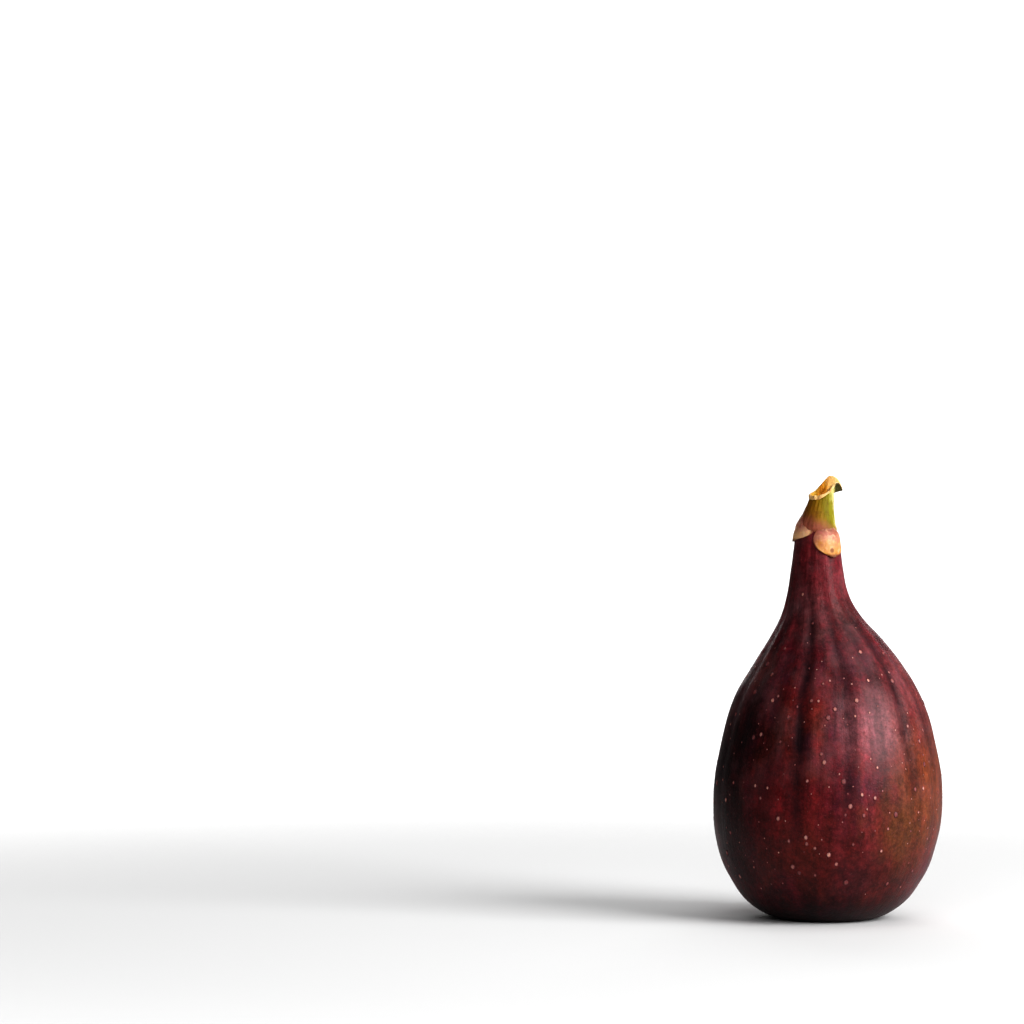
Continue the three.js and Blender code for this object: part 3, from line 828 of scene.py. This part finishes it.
def stemMaterial():
    material, tree, shader = newMaterial("figStem", Roughness=0.6, Subsurface_Weight=0.06,
                                         Subsurface_Scale=0.4 * mm, Specular_IOR_Level=0.2)
    place = millimetres(tree)
    x, _, z = splitUp(tree, place)
    level = attribute(tree, "level")
    fibre = noiseOf(tree, vectorCalc(tree, "MULTIPLY", place, (1.7, 1.7, 0.35)), 1.0, 4.0)
    blot = noiseOf(tree, place, 0.9, 4.0, 0.6)

    # From brown on the left to green and pale on the right, as the stem leans: partly the stalk's own colour,
    # partly painted shade on the left and a painted highlight along the pale right edge
    drift = calc(tree, "MULTIPLY", calc(tree, "SUBTRACT", z, 64.0), -0.16)
    side = calc(tree, "ADD", calc(tree, "SUBTRACT", x, drift), centred(tree, fibre, 1.6))
    wall = ramp(tree, ease(tree, side, -3.9, 1.1), (0.0, "#80521c"), (0.3, "#8a6414"), (0.6, "#80660a"),
                (0.82, "#746806"), (0.97, "#847c14"), (1.0, "#c0b878"))
    low = calc(tree, "ADD", z, centred(tree, blot, 1.8))
    low = calc(tree, "ADD", low, calc(tree, "MULTIPLY", calc(tree, "ADD", x, 1.8), 0.45))
    foot = ease(tree, low, 61.4, 63.8, 0.92, 0.0)
    wall = mixColour(tree, foot, wall, rgb("#8a5040"))
    wall = mixColour(tree, ease(tree, blot, 0.5, 0.75, 0.0, 0.5), wall, rgb("#55340f"))

    # The cut, painted lighter towards the right where the light falls, the pale band round its rim and
    # painted shade on the outside of the lip
    # Painted light: the cut face grows lighter towards the right
    inCup = ease(tree, calc(tree, "ADD", x, centred(tree, blot, 2.4)), -2.2, 0.8)
    cut = ramp(tree, inCup, (0.0, "#c09838"), (0.35, "#cc8020"), (0.6, "#f0a83e"), (1.0, "#e8bc7c"))
    colour = mixColour(tree, ease(tree, level, 11.1, 12.0), wall, cut)
    band = calc(tree, "MULTIPLY", ease(tree, level, 8.4, 9.1), ease(tree, level, 11.3, 12.0, 1.0, 0.0))
    rimTone = ramp(tree, blot, (0.3, "#b98a50"), (0.5, "#e0b880"), (0.7, "#f4d8a8"))
    colour = mixColour(tree, calc(tree, "MULTIPLY", band, 0.95), colour, rimTone)
    # Painted shade on the outside of the lip that curls over, which faces away from the light
    lipShade = calc(tree, "MULTIPLY", ease(tree, x, 0.85, 1.2), ease(tree, level, 9.8, 10.6, 1.0, 0.0))
    lipShade = calc(tree, "MULTIPLY", lipShade, ease(tree, z, 66.7, 67.2))
    colour = mixColour(tree, calc(tree, "MULTIPLY", lipShade, 0.9), colour, rgb("#332c0c"))
    tree.links.new(colour, shader.inputs["Base Color"])
    bumpFrom(tree, shader, calc(tree, "ADD", fibre, calc(tree, "MULTIPLY", blot, 0.5)), 0.12, 0.8)
    return material


stem = buildStem(stalkSet, stemMaterial())
say(f"stem built, {len(stem.data.polygons)} faces")

# Bracts: three scales at the foot of the stem that lap over the top of the neck

bractSet = {
    "lobes": [
        # middle angle and half width in degrees, heights, how far the tip turns, radius and width from
        # top to tip, and how far the upper edges sink into the stem
        {"angle": 40, "halfWidth": 52, "top": 62.5, "tip": 56.9, "tipTurn": -6,
         "root": [2.2, 2.5, 2.8, 3.06, 3.27], "blend": 0.3,
         "widths": [0.35, 0.64, 0.86, 0.97, 1.0, 0.94, 0.78, 0.5, 0.1]},
        {"angle": 154, "halfWidth": 50, "top": 62.5, "tip": 58.0, "tipTurn": 4,
         "root": [2.2, 2.5, 2.8, 3.06, 3.27], "blend": 0.3,
         "widths": [0.35, 0.64, 0.86, 0.97, 1.0, 0.94, 0.78, 0.5, 0.1]},
        {"angle": -82, "halfWidth": 72, "top": 64.7, "tip": 59.35, "tipTurn": -12,
         "root": [1.75, 2.1, 2.35, 2.55, 2.76, 3.0, 3.27], "blend": 0.62,
         "widths": [0.2, 0.32, 0.46, 0.64, 0.82, 0.94, 1.0, 0.74, 0.1]},
    ],
    "thickness": 0.36,
    "lean": -1.8,
    "leanBack": (0.2, 62.0),         # the stem leans back by this much a millimetre above this height
    "neckRadius": 3.27,
    "neckHeight": 60.5,
    "neckTaper": 0.2,
    "sides": 44,
    "rows": 44,
    "bulge": 0.16,
    "wave": 0.2,               # how far the outer face waves in and out
}


# Radius of a bract's inner face: from inside the stem down to the neck, then along it
def bractRadius(s, lobe, height):
    if height < s["neckHeight"]:
        return s["neckRadius"] + s["neckTaper"] * (s["neckHeight"] - height)
    return onPath(lobe["root"], (lobe["top"] - height) / (lobe["top"] - s["neckHeight"]))


def buildBract(s, lobe, number, points, values):
    start = len(points)
    back, backFrom = s["leanBack"]
    for row in range(s["rows"]):
        share = row / (s["rows"] - 1)
        height = lobe["top"] + (lobe["tip"] - lobe["top"]) * share
        radius = bractRadius(s, lobe, height)
        wide = lobe["halfWidth"] * onPath(lobe["widths"], share)
        lean = s["lean"] + back * max(height - backFrom, 0)
        thick = s["thickness"] * (0.5 + 0.5 * smoothstep(share, 0, 0.35))
        for side in range(s["sides"]):
            turn = side / s["sides"] * 2 * math.pi
            over = math.cos(turn)
            outer = 0.5 + 0.5 * math.copysign(abs(math.sin(turn)) ** 0.55, math.sin(turn))
            curl = noise.noise(Vector((over * 1.3, share * 2.4, number * 5.1))) * s["wave"]
            bulge = s["bulge"] * (1 - over * over) * math.sin(math.pi * share)
            angle = math.radians(lobe["angle"] + over * wide + lobe["tipTurn"] * share ** 2)
            sunk = lobe["blend"] * smoothstep(abs(over), 0.2, 1) * (1 - smoothstep(share, 0.35, 0.95))
            out = radius + (thick + bulge + max(curl, -0.08)) * outer * (1 - sunk)
            points.append(around(angle, out, lean, height))
            values.append((over, share))
    for end in (0, s["rows"] - 1):
        points.append(ringMiddle(points, start + end * s["sides"], s["sides"]))
        values.append((0.0, float(end > 0)))
    return ringFaces(s["sides"], s["rows"], start)


def buildBracts(s, material):
    points, faces, values = [], [], []
    for number, lobe in enumerate(s["lobes"]):
        faces += buildBract(s, lobe, number, points, values)
    obj = smoothMesh("figBracts", points, faces, material)
    pointValues(obj, "across", [across for across, _ in values])
    pointValues(obj, "along", [along for _, along in values])
    return obj


def bractMaterial():
    material, tree, shader = newMaterial("figBract", Roughness=0.55, Subsurface_Weight=0.15,
                                         Subsurface_Scale=0.5 * mm, IOR=1.42)
    place = millimetres(tree)
    x = splitUp(tree, place)[0]
    across = attribute(tree, "across")
    along = attribute(tree, "along")
    blot = noiseOf(tree, place, 0.8, 4.0, 0.6)
    fibre = noiseOf(tree, vectorCalc(tree, "MULTIPLY", place, (2.4, 2.4, 0.6)), 1.0, 4.0)
    ragged = centred(tree, blot, 0.5)
    tone = calc(tree, "ADD", along, ragged)
    colour = ramp(tree, tone, (0.12, "#6e4430"), (0.3, "#a06252"), (0.45, "#c08a6c"), (0.7, "#c8925a"),
                  (0.95, "#b67c36"))
    onLeft = ease(tree, calc(tree, "ADD", x, ragged), -3.4, -2.2, 0.75, 0.0)
    leftTone = calc(tree, "ADD", tone, calc(tree, "MULTIPLY", blot, 0.4))
    pinker = ramp(tree, leftTone, (0.42, "#6c4236"), (0.72, "#d2a08e"), (0.95, "#e6bc92"))
    colour = mixColour(tree, onLeft, colour, pinker)

    # Colours the bract within about reach of a point
    def dab(colour, middle, reach, strength, hexColour):
        far = vectorCalc(tree, "DISTANCE", place, middle, output=1)
        cover = ease(tree, calc(tree, "ADD", far, ragged), reach[0], reach[1], strength, 0.0)
        return mixColour(tree, cover, colour, rgb(hexColour))

    colour = dab(colour, (-1.7, -3.5, 59.0), (0.3, 1.0), 0.7, "#b87c10")
    colour = mixColour(tree, ease(tree, fibre, 0.5, 0.7, 0.0, 0.35), colour, rgb("#9a6c2c"))
    fleshy = noiseOf(tree, place, 1.3, 3.0, 0.55)
    colour = mixColour(tree, ease(tree, fleshy, 0.5, 0.68, 0.0, 0.5), colour, rgb("#dcb08e"))
    inUpper = ease(tree, along, 0.5, 0.85, 1.0, 0.0)
    blush = calc(tree, "MULTIPLY", ease(tree, fleshy, 0.35, 0.5, 0.5, 0.0), inUpper)
    colour = mixColour(tree, blush, colour, rgb("#a85c58"))

    # The upper sides fade into the foot of the stem, and the lower edges are brown
    sideways = calc(tree, "ABSOLUTE", across)
    fading = calc(tree, "ADD", calc(tree, "ADD", sideways, ragged), calc(tree, "MULTIPLY", onLeft, 0.55))
    seam = calc(tree, "MULTIPLY", ease(tree, fading, 0.4, 0.9, 0.0, 0.6), inUpper)
    colour = mixColour(tree, seam, colour, rgb("#8a5040"))
    edge = calc(tree, "MAXIMUM", sideways, along)
    edge = ease(tree, calc(tree, "ADD", edge, calc(tree, "MULTIPLY", ragged, 0.2)), 0.87, 0.98, 0.0, 0.9)
    edge = calc(tree, "MULTIPLY", edge, ease(tree, along, 0.4, 0.65))
    colour = mixColour(tree, edge, colour, rgb("#5c2c14"))
    colour = dab(colour, (0.42, -3.75, 58.0), (0.15, 0.5), 0.75, "#6a3416")
    tree.links.new(colour, shader.inputs["Base Color"])
    bumpFrom(tree, shader, calc(tree, "ADD", fibre, blot), 0.08, 0.8)
    return material


bracts = buildBracts(bractSet, bractMaterial())
say(f"bracts built, {len(bracts.data.polygons)} faces")

# Floor, world and soft studio light

floorSet = {"size": 1.0, "colour": "#d6d6d6", "roughness": 0.6, "fadeFrom": 0.1, "fadeTo": 0.42}
worldSet = {"backdrop": "#ffffff", "dark": 0.05, "bright": 0.3}
lampSet = [
    # name, place, size, watts
    ("keyLight", (0.56, -0.38, 0.36), (0.5, 0.5), 6.7),
    ("frontLight", (-0.12, -0.8, 0.45), (0.5, 0.5), 1.7),
    ("topLight", (0.16, -0.05, 0.8), (0.6, 0.6), 1.6),
    ("backLight", (0.0, 0.8, 0.4), (0.7, 0.5), 3.0),
]
lampTarget = Vector((0, 0, 0.033))       # about the middle of the fig


# A pale floor that turns into the plain backdrop away from the fruit
def makeFloor(s):
    half = s["size"] / 2
    mesh = bpy.data.meshes.new("floor")
    corners = [(-half, -half, 0), (half, -half, 0), (half, half, 0), (-half, half, 0)]
    mesh.from_pydata(corners, [], [(0, 1, 2, 3)])
    floor = linked(bpy.data.objects.new("floor", mesh))
    material, tree, shader = newMaterial("floorPaper", Roughness=s["roughness"])
    place = addNode(tree, "ShaderNodeTexCoord").outputs["Object"]
    far = ease(tree, vectorCalc(tree, "LENGTH", place, output=1), s["fadeFrom"], s["fadeTo"])
    tree.links.new(calc(tree, "SUBTRACT", 1.0, far), shader.inputs["Alpha"])
    shader.inputs["Base Color"].default_value = rgb(s["colour"])
    shader.inputs["Specular IOR Level"].default_value = 0.0
    mesh.materials.append(material)


# White to the camera, and as light brightest from the right and from above
def makeWorld(s):
    world = bpy.data.worlds.new("studio")
    world.use_nodes = True
    bpy.context.scene.world = world
    tree = world.node_tree
    background = tree.nodes["Background"]
    direction = addNode(tree, "ShaderNodeTexCoord").outputs["Generated"]
    x, y, z = splitUp(tree, direction)
    toLight = calc(tree, "ADD", x, weighed(tree, y, 0.35, z, 0.25))
    glow = ease(tree, toLight, -0.1, 1.1, s["dark"], s["bright"])
    seen = addNode(tree, "ShaderNodeLightPath").outputs["Is Camera Ray"]
    strength = addNode(tree, "ShaderNodeMix", data_type="FLOAT")
    wire(tree, seen, strength.inputs[0])
    wire(tree, glow, strength.inputs[2])
    strength.inputs[3].default_value = 1.0
    background.inputs["Color"].default_value = rgb(s["backdrop"])
    tree.links.new(strength.outputs[0], background.inputs["Strength"])


def makeLamps(lamps, target):
    for name, place, (width, height), power in lamps:
        data = bpy.data.lights.new(name, "AREA")
        data.shape = "RECTANGLE"
        data.size, data.size_y = width, height
        data.energy = power
        lamp = linked(bpy.data.objects.new(name, data))
        lamp.location = place
        lamp.rotation_euler = (target - Vector(place)).to_track_quat("-Z", "Y").to_euler()


makeFloor(floorSet)
makeWorld(worldSet)
makeLamps(lampSet, lampTarget)
viewSet = bpy.context.scene.view_settings
viewSet.view_transform = "Standard"
viewSet.look = "High Contrast"
say("floor, world and lamps placed")

# Which body each piece rides on and what it stands for, with the finish slot listed for each

for piece, node, slotName in (
        (skin, "fruit", "skin"), (flecks, "fruit", "skin"), (eye, "fruit", "skin"),
        (stem, "stalk", "stalk"), (bracts, "stalk", "stalk")):
    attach(piece, body)
    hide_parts(node)
